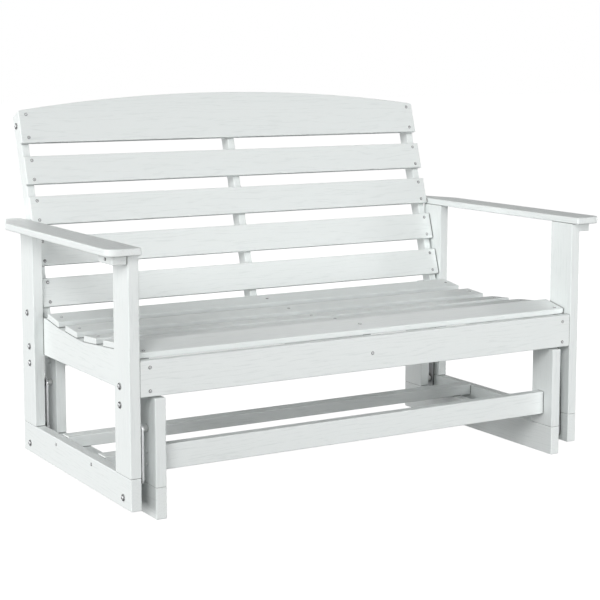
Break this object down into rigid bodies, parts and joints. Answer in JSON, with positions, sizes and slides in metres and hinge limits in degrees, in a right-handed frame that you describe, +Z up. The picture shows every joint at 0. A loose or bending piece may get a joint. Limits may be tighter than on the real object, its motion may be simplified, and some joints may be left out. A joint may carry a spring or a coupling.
{
  "type": "glider bench",
  "caption": "White painted wooden two-seat glider bench: a slatted seat frame with arms hangs on swing links from a base that stands on the ground.",
  "frame": {"origin": "on the ground under the middle of the whole bench", "axes": "+X along the bench to the sitter's left as seen from the front, +Y from the front to the back, +Z up"},
  "size_m": [1.384, 0.796, 0.9277],
  "materials": {
    "painted_wood": "white paint, satin, over open grain",
    "link_steel": "zinc plated",
    "bolt_steel": "zinc plated, satin",
    "nylon": "moulded",
    "dowel_wood": "bare beech"
  },
  "bodies": {
    "base": {"base_foot_left": "painted_wood", "base_foot_right": "painted_wood", "base_foot_screws": "bolt_steel", "base_frame_screws": "bolt_steel", "base_front_stretcher": "painted_wood", "base_post_front_left": "painted_wood", "base_post_front_right": "painted_wood", "base_post_rear_left": "painted_wood", "base_post_rear_right": "painted_wood", "base_rear_tie": "painted_wood", "upper_pivot_bolts": "bolt_steel", "upper_pivot_sleeves": "nylon"},
    "swing_frame": {"arm_cleat_left": "painted_wood", "arm_cleat_right": "painted_wood", "arm_dowels": "dowel_wood", "armrest_left": "painted_wood", "armrest_right": "painted_wood", "back_slat_2": "painted_wood", "back_slat_3": "painted_wood", "back_slat_4": "painted_wood", "back_slat_bottom": "painted_wood", "back_slat_screws": "bolt_steel", "back_slat_top": "painted_wood", "back_stile_centre": "painted_wood", "back_stile_left": "painted_wood", "back_stile_right": "painted_wood", "back_top_rail": "painted_wood", "cross_stretcher_front": "painted_wood", "cross_stretcher_rear": "painted_wood", "frame_bolts": "bolt_steel", "frame_nuts": "bolt_steel", "frame_screws": "bolt_steel", "front_apron": "painted_wood", "hanger_plates": "bolt_steel", "lower_pivot_bolts": "bolt_steel", "lower_pivot_sleeves": "nylon", "post_front_left": "painted_wood", "post_front_right": "painted_wood", "post_rear_left": "painted_wood", "post_rear_right": "painted_wood", "post_screws": "bolt_steel", "rear_seat_rail": "painted_wood", "seat_rail_centre": "painted_wood", "seat_rail_left": "painted_wood", "seat_rail_right": "painted_wood", "seat_slat_2": "painted_wood", "seat_slat_3": "painted_wood", "seat_slat_4": "painted_wood", "seat_slat_front": "painted_wood", "seat_slat_rear": "painted_wood", "seat_slat_screws": "bolt_steel", "side_rail_left": "painted_wood", "side_rail_right": "painted_wood", "stile_spacers": "nylon"},
    "link_front_left": {"link_front_left": "link_steel"},
    "link_front_right": {"link_front_right": "link_steel"},
    "link_rear_left": {"link_rear_left": "link_steel"},
    "link_rear_right": {"link_rear_right": "link_steel"}
  },
  "joints": [
    {"name": "link_front_left_swing", "type": "hinge", "parent": "base", "child": "link_front_left", "pos_m": [-0.5915, -0.33575, 0.201], "axis": [1, 0, 0], "range_deg": [-20, 20]},
    {"name": "link_front_right_swing", "type": "hinge", "parent": "base", "child": "link_front_right", "pos_m": [0.5915, -0.33575, 0.201], "axis": [1, 0, 0], "range_deg": [-20, 20]},
    {"name": "link_rear_left_swing", "type": "hinge", "parent": "base", "child": "link_rear_left", "pos_m": [-0.5915, 0.23925, 0.201], "axis": [1, 0, 0], "range_deg": [-20, 20]},
    {"name": "link_rear_right_swing", "type": "hinge", "parent": "base", "child": "link_rear_right", "pos_m": [0.5915, 0.23925, 0.201], "axis": [1, 0, 0], "range_deg": [-20, 20]},
    {"name": "swing_frame_level", "type": "hinge", "parent": "link_front_left", "child": "swing_frame", "pos_m": [-0.5915, -0.33575, 0.086], "axis": [1, 0, 0], "range_deg": [-20, 20]}
  ],
  "couplings": [
    {"joint": "link_front_right_swing", "follows": "link_front_left_swing", "ratio": 1},
    {"joint": "link_rear_left_swing", "follows": "link_front_left_swing", "ratio": 1},
    {"joint": "link_rear_right_swing", "follows": "link_front_left_swing", "ratio": 1},
    {"joint": "swing_frame_level", "follows": "link_front_left_swing", "ratio": -1}
  ]
}
